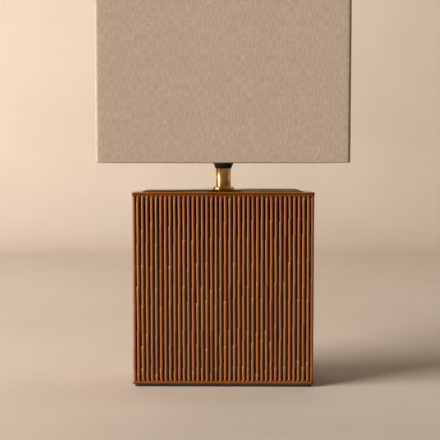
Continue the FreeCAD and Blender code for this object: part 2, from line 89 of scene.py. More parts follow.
lens = bpy.data.cameras.new("camera")
lens.sensor_width = 36
lens.lens = lens.sensor_width * focal_pixels / picture_width
camera = bpy.data.objects.new("camera", lens)
camera.location = (camera_distance * math.sin(orbit), -camera_distance * math.cos(orbit), camera_height)
camera.rotation_euler = (math.pi / 2 - tilt, 0, orbit + aim_left)
bpy.context.scene.collection.objects.link(camera)
bpy.context.scene.camera = camera
print("lens:", round(lens.lens, 1), "mm")

# %% [markdown]
# ## From arrays to meshes
#
# Every new surface here is a grid: rows of points, each row with as many points as the next.
# A function of two parameters fills the grid at once, and one table of corner numbers turns it
# into faces. The same table serves a tube that closes on itself around, a ring that closes
# both ways, and a dome whose last row shrinks to a point.

# %% Grid helpers
def grid_quads(rows, columns, closed_rows=False, closed_columns=True):
    """The corner numbers of a grid's faces. Point (i, j) has number i * columns + j; the last
    row or column joins the first where it is closed."""
    i = np.arange(rows if closed_rows else rows - 1)[:, None]
    j = np.arange(columns if closed_columns else columns - 1)[None, :]
    above, beside = (i + 1) % rows, (j + 1) % columns
    corners = (i * columns + j, i * columns + beside, above * columns + beside, above * columns + j)
    return np.stack([np.broadcast_to(c, (len(i), j.shape[1])) for c in corners], -1).reshape(-1, 4)


def smoothstep(x):
    """0 below 0, 1 above 1, and 3x^2 - 2x^3 between."""
    x = np.clip(x, 0, 1)
    return x * x * (3 - 2 * x)


def mixed(a, b, share):
    """A blend of two arrays: a where the share is 0, b where it is 1."""
    return a + (b - a) * share


def make_mesh(name, points, faces, sharp=40.0, attributes=None, uv=None):
    """An object at the origin from points (n, 3) and faces; edges sharper than the angle, in
    degrees, stay sharp. Attributes are named values per point, and uv has two per point."""
    mesh = bpy.data.meshes.new(name)
    mesh.from_pydata(points.reshape(-1, 3).tolist(), [], [list(f) for f in faces])
    mesh.polygons.foreach_set("use_smooth", np.ones(len(mesh.polygons), bool))
    mesh.set_sharp_from_angle(angle=math.radians(sharp))
    for key, values in (attributes or {}).items():
        layer = mesh.attributes.new(key, "FLOAT", "POINT")
        layer.data.foreach_set("value", np.ascontiguousarray(values, np.float32).ravel())
    if uv is not None:
        corner = np.empty(len(mesh.loops), np.int64)
        mesh.loops.foreach_get("vertex_index", corner)
        layer = mesh.uv_layers.new(name="cloth")
        layer.data.foreach_set("uv", uv.reshape(-1, 2)[corner].astype(np.float32).ravel())
    mesh.validate()
    made = bpy.data.objects.new(name, mesh)
    bpy.context.scene.collection.objects.link(made)
    print(name, len(mesh.polygons), "faces")
    return made


def dress(piece, body, material, replaced=()):
    """Lets a piece ride on its body, gives it its finish, and hides the solids
    that it stands for."""
    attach(piece, body)
    piece.data.materials.append(material)
    if replaced:
        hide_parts(*replaced)
    return piece


# %% [markdown]
# ## Turned pieces
#
# Half of the lamp's pieces come off a lathe. A turned piece is a profile, a line of points
# (radius, height), carried round the axis. A screw thread is almost the same: its radius
# depends on the height and also on the angle, because the ridge climbs by one pitch per turn.

# %% Lathe
def lathe(profile, columns=96, thread=None):
    """Points (row, column, xyz) of a profile carried round Z: x = r cos a, y = r sin a. A
    thread, a function of angle and height, is added to the radius."""
    profile = np.asarray(profile, float)
    angle = np.linspace(0, 2 * math.pi, columns, endpoint=False)[None, :]
    radius = np.repeat(profile[:, :1], columns, axis=1)
    height = np.repeat(profile[:, 1:], columns, axis=1)
    if thread is not None:
        radius = radius + thread(angle, height)
    return np.stack([radius * np.cos(angle), radius * np.sin(angle), height], -1)


def turned_piece(name, profile, columns=96, thread=None, closed=True, sharp=40.0):
    """A closed ring-like profile, or an open one whose two ends lie on the axis and are each
    drawn together to one point."""
    points = lathe(profile, columns, thread)
    rows = len(points)
    if closed:
        return make_mesh(name, points, grid_quads(rows, columns, closed_rows=True), sharp)
    body = points[1:-1].reshape(-1, 3)
    ends = np.array([points[0, 0], points[-1, 0]])
    quads = grid_quads(rows - 2, columns).tolist()
    here = np.arange(columns)
    ahead = (here + 1) % columns
    last = (rows - 3) * columns
    first_fan = np.stack([ahead, here, np.full(columns, len(body))], -1).tolist()
    last_fan = np.stack([last + here, last + ahead, np.full(columns, len(body) + 1)], -1).tolist()
    return make_mesh(name, np.vstack([body, ends]), quads + first_fan + last_fan, sharp)


def arc_points(centre, radius, start, end, count=8):
    """Points on a circle's arc, from the start angle to the end angle in degrees."""
    turn = np.radians(np.linspace(start, end, count))
    return np.stack([centre[0] + radius * np.cos(turn), centre[1] + radius * np.sin(turn)], -1)


# %% [markdown]
# ## Writing a material as a formula
#
# A material is a graph of nodes. Placing them one by one is slow to read, so a small class
# wraps an output: adding or multiplying two outputs adds the Math node that does it. One
# method makes every other node, its settings first and its sockets after, because a setting
# can change which sockets there are.

# %% Sockets and finishes
class Socket:
    """One output of a node, on which + - * / and powers add Math nodes."""

    def __init__(self, finish, output):
        self.finish = finish
        self.output = output

    def math(self, operation, *values):
        sockets = dict(enumerate(values))
        return self.finish.node("ShaderNodeMath", {"operation": operation}, sockets)

    def __add__(self, other):
        return self.math("ADD", self, other)

    def __radd__(self, other):
        return self.math("ADD", other, self)

    def __sub__(self, other):
        return self.math("SUBTRACT", self, other)

    def __rsub__(self, other):
        return self.math("SUBTRACT", other, self)

    def __mul__(self, other):
        return self.math("MULTIPLY", self, other)

    def __rmul__(self, other):
        return self.math("MULTIPLY", other, self)

    def __truediv__(self, other):
        return self.math("DIVIDE", self, other)

    def __pow__(self, other):
        return self.math("POWER", self, other)

    def sine(self):
        return self.math("SINE", self)

    def between(self, low, high):
        """0 below low, 1 above high, smooth between."""
        settings = {"interpolation_type": "SMOOTHSTEP"}
        sockets = {"Value": self, "From Min": low, "From Max": high}
        return self.finish.node("ShaderNodeMapRange", settings, sockets, "Result")


class Finish:
    """A material being made."""

    def __init__(self, name):
        self.material = bpy.data.materials.new(name)
        self.material.use_nodes = True
        self.tree = self.material.node_tree
        self.tree.nodes.clear()

    def node(self, kind, settings=None, sockets=None, output=0):
        """Adds a node, sets its settings, then its sockets, and gives one of its outputs."""
        made = self.tree.nodes.new(kind)
        for key, value in (settings or {}).items():
            setattr(made, key, value)
        for key, value in (sockets or {}).items():
            if isinstance(value, Socket):
                self.tree.links.new(value.output, made.inputs[key])
            else:
                made.inputs[key].default_value = value
        return Socket(self, made.outputs[output])

    def place(self):
        return self.node("ShaderNodeTexCoord", output="Object")

    def cloth_place(self):
        return self.node("ShaderNodeUVMap", {"uv_map": "cloth"})

    def value_of(self, name):
        return self.node("ShaderNodeAttribute", {"attribute_name": name}, output="Fac")

    def stretched(self, place, x, y, z):
        """A place multiplied by three numbers, which squeezes a pattern along each axis."""
        return self.node("ShaderNodeVectorMath", {"operation": "MULTIPLY"}, {0: place, 1: (x, y, z)})

    def part(self, place, axis):
        return self.node("ShaderNodeSeparateXYZ", sockets={0: place}, output=axis)

    def noise(self, place, scale, detail=3.0, roughness=0.5):
        sockets = {"Vector": place, "Scale": scale, "Detail": detail, "Roughness": roughness}
        return self.node("ShaderNodeTexNoise", sockets=sockets, output="Fac")

    def mix(self, share, first, second, blend="MIX"):
        """A blend of two colours: the first where the share is 0, the second where it is 1."""
        settings = {"data_type": "RGBA", "blend_type": blend, "clamp_factor": True}
        return self.node("ShaderNodeMix", settings, {0: share, 6: first, 7: second}, 2)

    def bump(self, height, distance, strength=1.0):
        """Tilts the surface as if it were raised by height times distance, in metres."""
        sockets = {"Height": height, "Distance": distance, "Strength": strength}
        return self.node("ShaderNodeBump", sockets=sockets, output="Normal")

    def shade(self, **sockets):
        """Ends the material with one shader; a socket's name is written with _ for a space."""
        named = {key.replace("_", " "): value for key, value in sockets.items()}
        shader = self.node("ShaderNodeBsdfPrincipled", sockets=named, output="BSDF")
        self.node_output(shader)
        return self.material

    def node_output(self, shader):
        made = self.tree.nodes.new("ShaderNodeOutputMaterial")
        self.tree.links.new(shader.output, made.inputs["Surface"])


def paint(red, green, blue):
    """A colour given as a screen shows it, 0 to 255, turned into the amounts of light that a
    shader works with: ((c + 0.055) / 1.055) to the power 2.4, and c / 12.92 near black."""
    shown = np.array([red, green, blue]) / 255
    light = np.where(shown > 0.04045, ((shown + 0.055) / 1.055) ** 2.4, shown / 12.92)
    return (*light.tolist(), 1.0)


# %% [markdown]
# ## The ribbed body: its outline
#
# The body was cast in one piece. Half-round reeds stand side by side on its four faces, and a
# thicker-looking three-quarter round reed turns each corner. A bump map could fake them, but
# their outline shows against the wall, so each is real geometry. The outline is a loop of
# points that each know the centre of their reed, the direction from it, and the place on a
# plain rounded rectangle that they would have on a rim, so that the same columns can pass
# smoothly from reeds to rims and on to the crown.

# %% Outline of the body
def corners_of(node):
    """The lowest and the highest corner of a solid's box."""
    low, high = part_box(node)
    return np.array(low), np.array(high)


body_low, body_high = corners_of("ceramic_body")
half_size = body_high[:2]
front_reeds = 38
side_reeds = 14
reed_radius = 2.3 * MM
rim_proud = 0.25 * MM
core = half_size - rim_proud - reed_radius  # the reeds' centres lie on this rectangle
set_back = 1.0 * MM  # of the corner reeds, along both faces
reed_points = 8
corner_points = 10


def reed_outline():
    """For every column of the body: the centre of its reed, the direction from it, the unit
    vectors along and out of its face, its share of that face's straight run from -1 to 1, its
    share of the corner's turn from 0 to 1, the number of its reed, and how far it stands out
    of the groove, which is the sine of its angle on the reed."""
    around = np.radians(np.linspace(180, 0, reed_points))
    about = np.radians(np.linspace(180, -90, corner_points))
    corner_lift = np.sin(np.linspace(0, math.pi, corner_points)) ** 0.5
    parts = []
    first = 0
    for face in range(4):
        turn = face * math.pi / 2
        along = np.array([math.cos(turn), math.sin(turn)])
        out = np.array([math.sin(turn), -math.cos(turn)])
        half, reach = (core[0], core[1]) if face % 2 == 0 else (core[1], core[0])
        count = front_reeds if face % 2 == 0 else side_reeds
        places = -half + 2 * half / (count + 1) * np.arange(1, count + 1)
        straight = count * reed_points
        centre = np.append(np.repeat(places, reed_points), np.full(corner_points, half - set_back))
        depth = np.append(np.full(straight, reach), np.full(corner_points, reach - set_back))
        angle = np.append(np.tile(around, count), about)
        number = np.append(np.repeat(np.arange(count), reed_points), np.full(corner_points, count))
        bend = np.append(np.zeros(straight), np.linspace(0, 1, corner_points))
        share = (centre + reed_radius * np.cos(angle)) / half
        share[-corner_points:] = 1.0
        lift = np.clip(np.sin(angle), 0, 1)
        lift[-corner_points:] = corner_lift
        parts.append(
            {
                "centre": centre[:, None] * along + depth[:, None] * out,
                "direction": np.cos(angle)[:, None] * along + np.sin(angle)[:, None] * out,
                "along": np.repeat(along[None], len(angle), 0),
                "out": np.repeat(out[None], len(angle), 0),
                "share": share,
                "bend": bend,
                "number": first + number,
                "lift": lift,
            }
        )
        first += count + 1
    return {key: np.concatenate([part[key] for part in parts]) for key in parts[0]}


reeds = reed_outline()
columns = len(reeds["share"])
reed_count = int(reeds["number"].max()) + 1


def plain_outline(inset, corner, ends=0.0):
    """A rounded rectangle that uses the reeds' columns, drawn in by inset, and at its two ends
    by so much more. Straight columns keep their share of the run, and corner columns turn a
    quarter circle of radius corner."""
    inset, corner = np.atleast_1d(inset)[:, None], np.atleast_1d(corner)[:, None]
    drawn = np.stack(np.broadcast_arrays(half_size[0] - ends, half_size[1]), -1) - inset
    size_along = drawn @ np.abs(reeds["along"]).T
    size_out = drawn @ np.abs(reeds["out"]).T
    turn = reeds["bend"] * math.pi / 2
    run = reeds["share"] * (size_along - corner) + corner * np.sin(turn)
    reach = size_out - corner + corner * np.cos(turn)
    return run[..., None] * reeds["along"] + reach[..., None] * reeds["out"]


print("columns round the body:", columns, "reeds:", reed_count)

# %% [markdown]
# ## The ribbed body: stems and knuckles
#
# The reeds are cane: each is a stack of stems, and no two stems stand quite alike. A stem leans
# a little to the left as it rises, flares just under its upper end, and there the next stem
# starts with a small step to the right. Neighbours belong to two families, whose knuckles lie
# about half a stem apart, the rows of knuckles climb a little from left to right, and each one
# is off its row by a few millimetres. A grid can't have a step where it has no rows. So the
# rows aren't level: each reed has eight of them close to each of its own knuckles.

# %% Knuckles
rim_height = 5.2 * MM
rim_round = 2.0 * MM
foot = body_low[2]
crown_top = body_high[2]
crown_height = 3.4 * MM
body_top = crown_top - crown_height
reeds_low = foot + rim_height
reeds_high = body_top - rim_height
families = foot + MM * np.array([[21.0, 79.0, 144.0, 212.0, 272.5], [30.5, 59.0, 121.0, 177.0, 237.0]])
climb = 5.8 * MM  # each way from the middle of the broad face
stray = 3.6 * MM  # of a knuckle from its row
near = np.array([1.5, 0.5, 0.15, -0.25, -0.8, -1.8, -3.5, -6.5]) * MM  # rows about a knuckle
blend_steps = np.array([0.0, 0.8, 1.6, 2.4]) * MM  # rows that pass into a rim

luck = np.random.default_rng(11)
reed_centre = np.zeros((reed_count, 2))
reed_centre[reeds["number"]] = reeds["centre"]
knuckles = families[np.arange(reed_count) % 2] + climb * reed_centre[:, :1] / half_size[0]
knuckles = knuckles + np.clip(luck.normal(0, stray, knuckles.shape), -2 * stray, 2 * stray)
lowest = reeds_low + blend_steps[-1] - near[-1] + 1 * MM
highest = reeds_high - blend_steps[-1] - near[0] - 0.1 * MM
knuckles = np.clip(knuckles, lowest, highest)
stem_shape = (reed_count, knuckles.shape[1] + 1)
knuckle_force = luck.uniform(0, 1, stem_shape) ** 1.5
knuckle_force[:, -1] = 0  # the top stem runs into the rim
stem_lean = np.abs(luck.normal(0.20 * MM, 0.12 * MM, stem_shape))
stem_swell = luck.normal(0, 0.06 * MM, stem_shape)
stem_tone = luck.uniform(0, 1, stem_shape) ** 0.6
stem_blush = luck.uniform(0, 1, stem_shape)
print("knuckles:", knuckles.size)

# %% Rows of the reeds
boss_centre = 30 * MM  # height of the flat round face for the cable, low on the back
boss_radius = 9.2 * MM
cable_radius = 5.1 * MM
boss_rings = np.array([13.0, 9.8, 9.2, 7.0, 5.3, 5.1, 0.0, -5.1, -5.3, -7.0, -9.2, -9.8, -13.0]) * MM
behind_boss = (reeds["out"][:, 1] > 0.5) & (reeds["bend"] == 0) & (np.abs(reeds["centre"][:, 0]) < 12.5 * MM)
knuckles[np.unique(reeds["number"][behind_boss]), 0] = lowest - 6 * MM


def spread(upper, lower, count):
    """Rows spaced evenly between two others."""
    return lower + (upper - lower) * (1 - np.arange(1, count + 1)[:, None] / (count + 1))


def reed_heights():
    """Heights (rows, columns) from the top down: rows that pass into the upper rim, then for
    each knuckle three rows of plain stem and the rows close to it, and rows that pass into the
    lower rim. Round the cable's boss the lowest of them follow circles: a row goes through the
    height where its circle has the column's place, or close past the centre outside it."""
    same = np.ones(columns)
    blocks = [(reeds_high - blend_steps)[:, None] * same]
    for place in reversed(range(knuckles.shape[1])):
        cluster = knuckles[reeds["number"], place] + near[:, None]
        blocks += [spread(blocks[-1][-1], cluster[0], 3), cluster]
    last = (reeds_low + blend_steps[::-1])[:, None] * same
    heights = np.concatenate(blocks + [spread(blocks[-1][-1], last[0], 2), last])
    across = reeds["centre"][:, 0] + reed_radius * reeds["direction"][:, 0]
    least = np.linspace(1.5, -1.5, len(boss_rings)) * MM
    half = np.sqrt(np.maximum(boss_rings[:, None] ** 2 - across**2, least[:, None] ** 2))
    rings = boss_centre + np.sign(boss_rings)[:, None] * half
    start = len(heights) - len(last) - len(boss_rings)
    lowest_rows = slice(start, start + len(boss_rings))
    heights[lowest_rows] = np.where(behind_boss, rings, heights[lowest_rows])
    return heights


reed_z = reed_heights()
print("rows on the reeds:", len(reed_z))

# %% Stems
def stems(height):
    """Sway, swell, knuckle, tone and blush of every point (rows, columns). With t the share of
    the way up its stem, the sway is lean * (1 - 2t). Under its upper end a stem flares by
    force * exp(-depth below the end / 2.2 mm), and it starts a little thin above its lower."""
    column = np.arange(columns)[None, :]
    reed = reeds["number"][None, :]
    between = knuckles[reeds["number"]].T
    ends = np.concatenate([np.full((1, columns), foot), between, np.full((1, columns), body_top)])
    stem = (height[None] > ends[1:-1, None, :]).sum(0)
    low, high = ends[stem, column], ends[stem + 1, column]
    sway = stem_lean[reed, stem] * (1 - 2 * (height - low) / (high - low))
    flare = knuckle_force[reed, stem] * np.exp((height - high) / (2.2 * MM))
    start = np.where(stem > 0, np.exp((low - height) / (3 * MM)), 0)
    swell = stem_swell[reed, stem] + 0.34 * MM * flare - 0.08 * MM * start
    return sway, swell, flare, stem_tone[reed, stem], stem_blush[reed, stem]


def reed_surface(height):
    """The reeds as (rows, columns, xy), and the five values that their glaze reads. At both
    ends they pass into the outline of the rims."""
    sway, swell, knuckle, tone, blush = stems(height)
    radius = (reed_radius + swell)[..., None]
    ribbed = reeds["centre"] + sway[..., None] * reeds["along"] + radius * reeds["direction"]
    end = np.minimum(height - reeds_low, reeds_high - height)
    blend = 1 - smoothstep((end + 0.4 * MM) / (2.6 * MM))
    plain = plain_outline(np.full(len(height), 0.3 * MM), rim_corner)
    values = {
        "lift": mixed(np.broadcast_to(reeds["lift"], tone.shape), 1.0, 0.6 * blend),
        "knuckle": knuckle * (1 - blend),
        "tone": mixed(tone, 0.5, blend),
        "blush": blush,
        "reeded": 1 - 0.8 * blend,
    }
    return mixed(ribbed, plain, blend[..., None]), values


# %% [markdown]
# ## The ribbed body: rims, crown and hollow
#
# Above and below the reeds the same columns run on: over the rounded rims, across the level
# margin, up the sloping edge of the crown, and down through the hole for the rod into the
# hollow, whose wall leads back to the foot. Rows and columns both close on themselves, so the
# body is one watertight skin. The crown was finished by hand: it starts from the margin in a
# crease, its right end slopes more gently than its left, and its top isn't quite level.

# %% Crown and boss
crown_inset = 11 * MM
crown_ends = 2 * MM  # its ends start this much further in
crown_corner = 12 * MM
broad_slope = 8 * MM
left_slope = 6.5 * MM
right_slope = 20 * MM
rim_corner = 4 * MM
rod_hole = 5.5 * MM
wall = 5 * MM
ceiling = crown_top - 8 * MM
board_top = foot + 6 * MM
inner_inset = rim_proud + reed_radius + wall
neck_reach = 17 * MM  # the crown is level this far from the axis, where the flange stands
boss_face = half_size[1] - rim_proud - 1.0 * MM


def crown_rise(xy):
    """Height above the margin at a place. The distance d in from the crown's rounded outline,
    over the width of its slope, gives 1 - (1 - d / slope) to the power 1.8, which starts
    steeply and ends level. The crest is lower at the left and higher at the right."""
    x = xy[..., 0]
    past = np.abs(xy) - (half_size - [crown_ends, 0] - crown_inset - crown_corner)
    beyond = np.linalg.norm(np.maximum(past, 0), axis=-1)
    inward = crown_corner - beyond - np.minimum(past.max(-1), 0)
    at_end = smoothstep(0.5 + (past[..., 0] - past[..., 1]) / (16 * MM))
    slope = mixed(broad_slope, np.where(x < 0, left_slope, right_slope), at_end)
    left = smoothstep((-x - neck_reach) / (0.5 * half_size[0]))
    right = smoothstep((x - neck_reach) / (25 * MM))
    crest = crown_height - 0.7 * MM * left + 0.6 * MM * right
    return crest * (1 - (1 - np.clip(inward / slope, 0, 1)) ** 1.8)


def boss_flattened(xy, z):
    """Round the cable's way in the back, the reeds give way to a flat round face, and inside
    that to a hole as deep as the wall."""
    away = np.hypot(xy[..., 0], z - boss_centre)
    flat = (1 - smoothstep((away - boss_radius) / (0.5 * MM))) * behind_boss
    y = mixed(xy[..., 1], boss_face, flat)
    y = np.where(behind_boss & (away < cable_radius + 0.05 * MM), boss_face - wall, y)
    return np.stack([xy[..., 0], y], -1)


# %% Body mesh
def above_reeds():
    """Rows from the rod's hole outwards, down the crown's slope, across the margin and over
    the rim, as points."""
    crown = np.array([36, 31, 27, 24, 21, 19, 17, 15.2, 13.8, 12.6, 11.7, 11]) * MM
    turn = np.radians(np.linspace(80, 0, 6))
    insets = [crown, [7 * MM, rim_round + 0.6 * MM], rim_round * (1 - np.cos(turn)), [0.0]]
    inset = np.concatenate(insets)
    rounded = rim_round * (np.sin(turn) - 1)
    level = np.concatenate([np.zeros(len(crown) + 2), rounded, [1.6 * MM - rim_height]])
    corner = np.clip(rim_corner - inset, 1.5 * MM, crown_corner)
    corner[: len(crown)] = crown_corner * np.minimum(1, (half_size[1] - crown) / (30 * MM))
    ends = np.zeros(len(inset))
    ends[: len(crown)] = crown_ends
    xy = plain_outline(inset, corner, ends)
    z = body_top + level[:, None] + crown_rise(xy)
    return np.concatenate([xy, z[..., None]], -1)


def below_reeds(hole):
    """Rows over the foot's rim, under it, up the hollow to the ceiling, in to the rod's hole
    and up through it, as points."""
    turn = np.radians(np.linspace(0, 80, 6))
    inset = np.concatenate([[0.0], rim_round * (1 - np.cos(turn)), [5.05 * MM, 5.05 * MM]])
    low = np.concatenate([[rim_height - 1.6 * MM], rim_round * (1 - np.sin(turn)), [0.0, board_top - foot]])
    corner = np.maximum(rim_corner - inset, 1.5 * MM)
    corner[-2:] = 8 * MM
    inner_z = np.array([board_top, board_top + 12 * MM, ceiling - 6 * MM, ceiling])
    inner = plain_outline(np.full(4, inner_inset), 6 * MM)
    xy = np.concatenate([plain_outline(inset, corner), inner, hole[None], hole[None]])
    z = np.concatenate([foot + low, inner_z, [ceiling, crown_top]])
    return np.concatenate([xy, np.broadcast_to(z[:, None, None], (*xy.shape[:2], 1))], -1)


reed_xy, glaze_values = reed_surface(reed_z)
reed_part = np.concatenate([boss_flattened(reed_xy, reed_z), reed_z[..., None]], -1)
upper_part = above_reeds()
first_row = upper_part[0, :, :2]
hole = first_row / np.linalg.norm(first_row, axis=1, keepdims=True) * rod_hole
lower_part = below_reeds(hole)
body_points = np.concatenate([upper_part, reed_part, lower_part])
plain_values = {"lift": 0.8, "knuckle": 0.0, "tone": 0.5, "blush": 0.5, "reeded": 0.0}
# edge marks where the glaze gets a painted highlight: the upper rim's round, the ledge where the reeds meet
# the foot's rim, and the foot rim's lower round
edge = np.zeros((len(body_points), columns))
edge[len(upper_part) - 7 : len(upper_part) - 3] = 1  # over the upper rim's round
below = len(body_points) - len(lower_part)
edge[below] = 0.7  # the ledge where the reeds meet the foot's rim
edge[below + 4 : below + 6] = 0.4


def on_all_rows(values, plain):
    """Values on the reeds' rows, with one plain value for the rows above and below them."""
    above = np.full(upper_part.shape[:2], plain)
    below = np.full(lower_part.shape[:2], plain)
    return np.concatenate([above, values, below])


body_attributes = {key: on_all_rows(glaze_values[key], plain_values[key]) for key in plain_values}
body_attributes["edge"] = edge
body_faces = grid_quads(len(body_points), columns, closed_rows=True)[:, ::-1]
ceramic = make_mesh("glazed_body", body_points, body_faces, 33.0, body_attributes)
print("body grid:", len(body_points), "rows by", columns, "columns")

# %% [markdown]
# ## The glaze
#
# Amber glaze is coloured glass. It runs off the crests while it melts and gathers between the
# reeds, so it is thin and warm on top and darker where it pools. The mesh carries how far each
# point stands out, and the material turns that into colour: the near-black between the reeds is
# partly that pooling and partly painted shade in the grooves. Stems differ: most are amber, some
# have a salmon blush, and a few are browner where the glaze is thick. A knuckle's lip is painted
# pale, partly for its thin glaze and partly as a painted highlight, and the rims' round edges and
# the ledge over the foot get a painted highlight. The surface is glass, so it is glossy all over,
# with a slight orange-peel ripple.

# %% Amber glaze
def amber_glaze():
    finish = Finish("amber_glaze")
    place = finish.place()
    lift = finish.value_of("lift")
    knuckle = finish.value_of("knuckle")
    runs = finish.noise(finish.stretched(place, 1, 1, 0.07), 420, 3)
    clouds = finish.noise(finish.stretched(place, 1, 1, 0.5), 38, 2)
    specks = finish.noise(place, 1500, 2)
    # thin: how far a point stands out of its groove, with noise; it sets both the glaze's thickness and the
    # painted shade between the reeds
    thin = lift + 0.24 * (runs - 0.5) + 0.14 * (clouds - 0.5)
    blush = finish.value_of("blush").between(0.4, 0.8)
    stem = finish.mix(blush, paint(162, 98, 50), paint(163, 95, 58))
    stem = finish.mix(finish.value_of("tone").between(0.0, 0.4), paint(142, 78, 38), stem)
    # near black in the grooves: partly pooled glaze, partly painted shade
    pooled_and_shaded = finish.mix(thin.between(0.0, 0.34), paint(4, 1, 1), paint(52, 22, 6))
    colour = finish.mix(thin.between(0.22, 0.78), pooled_and_shaded, stem)
    # paler knuckle lips on the crests: partly thin glaze, partly a painted highlight
    colour = finish.mix(knuckle * thin.between(0.3, 0.8) * 0.6, colour, paint(224, 168, 122))
    plain = finish.mix(clouds.between(0.3, 0.7), paint(98, 46, 8), paint(116, 58, 14))
    # edge: a painted highlight on the rims' round edges and the foot's ledge
    plain = finish.mix(finish.value_of("edge"), plain, paint(172, 106, 44))
    colour = finish.mix(finish.value_of("reeded"), plain, colour)
    colour = finish.mix(specks.between(0.66, 0.74) * 0.4, colour, paint(60, 26, 10))
    ripple = finish.noise(place, 260, 2)
    roughness = 0.11 + 0.08 * clouds
    normal = finish.bump(ripple + 0.3 * runs, 0.10 * MM)
    return finish.shade(
        Base_Color=colour, Roughness=roughness, Normal=normal, IOR=1.5, Specular_IOR_Level=0.3
    )


dress(ceramic, "lamp", amber_glaze(), ["ceramic_body"])

# %% [markdown]
# ## The linen shade
#
# The shade is one strip of linen, glued to a stiff lining, and rolled in over a wire at both
# edges. Cloth held as flat as this needs no simulation: it is a path, from the hem inside, out
# round the lower wire, up the outside, over the upper wire and down inside again, carried
# round a rounded rectangle. The strip's ends overlap at the back, where the last of it lies
# on the first. Its UV map is the flat cloth in metres, so the weave turns every corner whole.

# %% Linen cover
linen_low, linen_high = corners_of("shade_linen")
shade_half = linen_high[:2]
linen = 0.6 * MM
shade_corner = 5 * MM  # tighter than the lining's
turn_in = 12 * MM
overlap = 11 * MM
wire_middle = 2.7 * MM  # from the shade's outer face to the middle of the wire
bow = 1.85 * MM  # radius of the cloth's middle layer round the wire
cloth_middle = linen / 2


def hem_path():
    """Half of the cloth's path at the lower edge, as inset and height: up the outside last."""
    tucked = 1.5 * MM
    inner = [[tucked, turn_in], [tucked, 9 * MM], [tucked, 6.6 * MM], [1.75 * MM, 5.2 * MM]]
    over = arc_points((wire_middle, 2.2 * MM), bow, 80, 0, 6)
    under = arc_points((wire_middle, 2.15 * MM), bow, -15, -90, 6)
    outside = arc_points((cloth_middle + 1.3 * MM, cloth_middle + 1.3 * MM), 1.3 * MM, 270, 180, 5)
    return np.vstack([inner, over, under, outside])


def cloth_path():
    """The whole path, with the upper edge a mirror image of the lower one."""
    low = hem_path()
    height = linen_high[2] - linen_low[2]
    side = np.linspace(0, 1, 26)[1:-1, None]
    up = low[-1] + side * (np.array([low[-1, 0], height - low[-1, 1]]) - low[-1])
    high = low[::-1] * [1, -1] + [0, height]
    return np.vstack([low, up, high])


def strip_places(width, depth, corner, ends):
    """Places round a rounded rectangle from the middle of the back, as the length along it:
    even steps on the runs, finer ones in the corners, and an overlap past the start."""
    quarter = corner * math.pi / 2
    runs = [width / 2 - corner, depth - 2 * corner, width - 2 * corner, depth - 2 * corner]
    here, places = 0.0, []
    for run in runs:
        places += (here + np.linspace(0, run, max(2, int(run / (5 * MM))), endpoint=False)).tolist()
        here += run
        places += (here + np.linspace(0, quarter, 8, endpoint=False)).tolist()
        here += quarter
    last = width / 2 - corner
    places += (here + np.linspace(0, last, int(last / (5 * MM)), endpoint=False)).tolist()
    here += last
    places += (here + np.linspace(0, ends, 5)).tolist()
    return np.array(places), here


def along_rectangle(length, half, corner):
    """Where a length along a rounded rectangle lies: the centre that it turns about, or on a
    straight run the point as deep inside as a corner's centre, and the outward direction."""
    width, depth = 2 * half
    quarter = corner * math.pi / 2
    runs = [width / 2 - corner, depth - 2 * corner, width - 2 * corner, depth - 2 * corner, width]
    centres = np.array([[-1, 1], [-1, -1], [1, -1], [1, 1]]) * (half - corner)
    seat = np.zeros((len(length), 2))
    out = np.zeros((len(length), 2))
    start, turn = 0.0, math.pi / 2
    origin = np.array([0.0, half[1] - corner])
    for side, run in enumerate(runs):
        on_run = length >= start
        ahead = np.array([-math.sin(turn), math.cos(turn)])
        seat[on_run] = origin + (length[on_run] - start)[:, None] * ahead
        out[on_run] = [math.cos(turn), math.sin(turn)]
        start += run
        if side < 4:
            on_turn = length >= start
            angle = turn + (length[on_turn] - start) / corner
            seat[on_turn] = centres[side]
            out[on_turn] = np.stack([np.cos(angle), np.sin(angle)], -1)
            origin = centres[side]
            start += quarter
            turn += math.pi / 2
    return seat, out


def linen_cover():
    """The path, carried round the shade: a point lies at seat + (corner - inset) * outward.
    Where the strip passes its own start, it is raised from its path by its thickness."""
    path = cloth_path()
    places, once = strip_places(2 * shade_half[0], 2 * shade_half[1], shade_corner, overlap)
    seat, out = along_rectangle(places, shade_half, shade_corner)
    tangent = np.gradient(path, axis=0)
    tangent /= np.linalg.norm(tangent, axis=1, keepdims=True)
    lap = smoothstep((places - once + 1.5 * MM) / (1.5 * MM)) * 1.08 * linen
    inset = path[:, :1] - tangent[:, 1:] * lap
    height = path[:, 1:] + tangent[:, :1] * lap
    tall = linen_high[2] - linen_low[2]
    slack = 0.12 * MM * np.sin(places * 37.0) * np.sin(height / tall * math.pi)
    xy = seat[None] + (shade_corner - inset + slack)[..., None] * out[None]
    points = np.concatenate([xy, (linen_low[2] + height)[..., None]], -1)
    down = np.concatenate([[0], np.cumsum(np.linalg.norm(np.diff(path, axis=0), axis=1))])
    flat = np.stack(np.broadcast_arrays(places[None, :], down[:, None]), -1)
    faces = grid_quads(len(path), len(places), closed_columns=False)
    cover = make_mesh("linen_cover", points, faces, 60.0, uv=flat)
    thick = cover.modifiers.new("thickness", "SOLIDIFY")
    thick.thickness = linen
    thick.offset = 0
    print("linen cut:", round(places[-1], 4), "by", round(down[-1], 4), "m")
    return cover, (float(places[-1]), float(down[-1]))


# %% [markdown]
# ## Linen, close up
#
# Linen is a plain weave of yarns that swell and thin along their length, which makes its
# slubs: short dashes a little brighter or darker than the rest, most of them upright here,
# because the warp runs up the shade. The yarns are sine waves across the flat cloth, and the
# slubs are noise stretched along one yarn. All of it is faint, as in good cloth.

